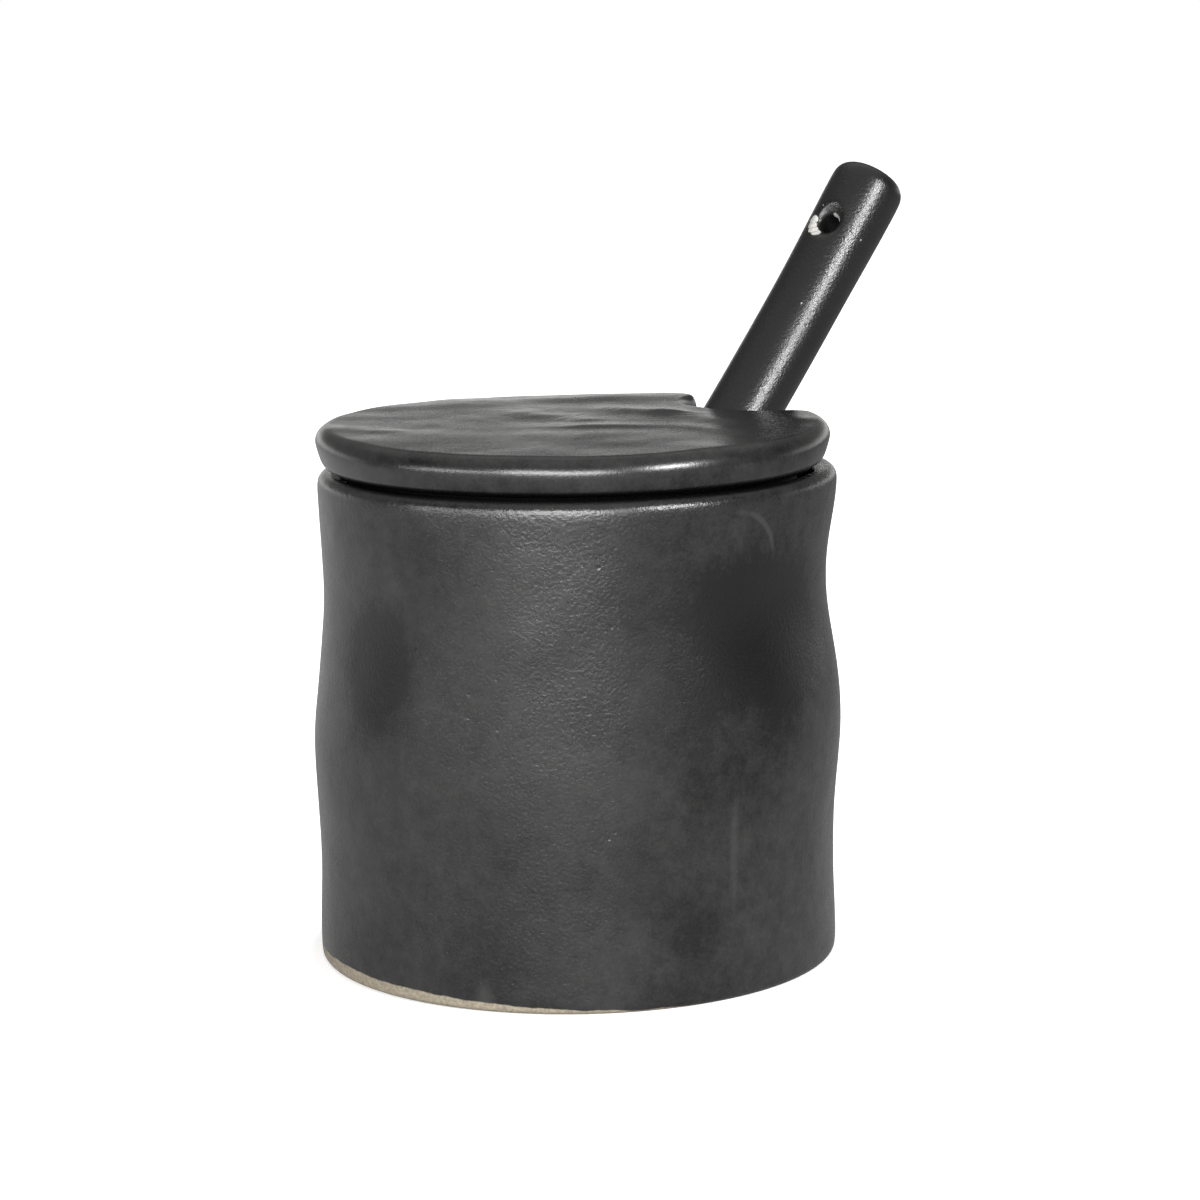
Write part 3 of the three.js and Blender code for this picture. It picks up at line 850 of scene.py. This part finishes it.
def in_hollow(p):
    return placed_on_spoon(Vector([p[i] * HOLLOW_SIZE[i] for i in range(3)]) + HOLLOW_MIDDLE)


hole_at = SPOON_LENGTH - HOLE_FROM_END


def in_hole(p):
    tilt, lift = handle_bend(hole_at)
    return placed_on_spoon(Matrix.Rotation(-tilt, 3, "Y") @ p + Vector((hole_at, 0, lift)))


bore = HANDLE_RADIUS - HOLE_CHAMFER
reach = HANDLE_RADIUS + PAST_FACE
flare = HOLE_RADIUS + (HOLE_MOUTH_RADIUS - HOLE_RADIUS) / HOLE_CHAMFER * (reach - bore)
half_profile = [(HOLE_RADIUS, bore), (flare, reach), (0, reach)]
hole_profile = [(radius, -height) for radius, height in half_profile[::-1]] + half_profile
cut_away(spoon, turned("bowl_hollow", ball_profile(HOLLOW_STEPS), in_hollow, 2 * HOLLOW_STEPS))
cut_away(spoon, turned("hang_hole", hole_profile, in_hole, HOLE_SIDES))
WORN_VOXEL = 0.33
SOFTENING = 0.5
SOFTENING_PASSES = 8
worn = spoon.modifiers.new("worn", "REMESH")
worn.mode = "VOXEL"
worn.voxel_size = WORN_VOXEL * MM
worn.use_smooth_shade = True
softened = spoon.modifiers.new("softened", "SMOOTH")
softened.factor = SOFTENING
softened.iterations = SOFTENING_PASSES
apply_stack(spoon)
spoon.data.materials.clear()


def on_mouth(angle, radius, depth):
    """A place on the hang hole's mouth: degrees round it, from its axis and under its face."""
    turn = math.radians(angle)
    return in_hole(Vector((radius * math.cos(turn), radius * math.sin(turn), HANDLE_RADIUS - depth))) * MM


def on_rod(along, angle, radius):
    """A place on the handle: from the bowl's tip, degrees round it, from its axis."""
    turn = math.radians(angle)
    return placed_on_spoon(on_bend(along, radius * math.cos(turn), radius * math.sin(turn))) * MM


# Flakes on the hole's mouth, the last row a painted highlight inside the hole at its upper right: degrees
# round it, from its axis, under its face, radius, paleness
MOUTH_FLAKES_AND_GLINT = (
    ((95, 117, 139, 158), 2.9, 0.7, 0.85, 0.36),
    ((68, 55, 42, 29), 3.4, 0.3, 0.1, 0.25),
    ((350, 335, 320, 305), 1.8, 1.2, 0.4, 0.3),
)
# Flakes on the handle: from the bowl's tip, degrees round it, from its axis, radius, paleness
ROD_FLAKES = (
    (148.0, 30, 5.8, 0.6, 0.34),
    (147.4, 55, HANDLE_RADIUS, 0.16, 0.26),
    (137, 155, HANDLE_RADIUS, 0.16, 0.26),
    (122, 120, HANDLE_RADIUS, 0.16, 0.26),
)
SPOON_SHADES = ((0.005, 0.0048, 0.0048), (0.009, 0.0088, 0.0088))
SPOON_ROUGHNESS = 0.27
flakes_and_glint = []
for angles, out, under, radius, pale in MOUTH_FLAKES_AND_GLINT:
    flakes_and_glint += [(on_mouth(angle, out, under), radius, pale) for angle in angles]
for along, angle, out, radius, pale in ROD_FLAKES:
    flakes_and_glint.append((on_rod(along, angle, out), radius, pale))
spoon.data.materials.append(
    stoneware_glaze("spoon_glaze", *SPOON_SHADES, SPOON_ROUGHNESS, flake_and_glint_marks=flakes_and_glint)
)
spoon.data.polygons.foreach_set("material_index", [0] * len(spoon.data.polygons))
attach(spoon, "spoon")
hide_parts("spoon")

bpy.context.view_layer.update()
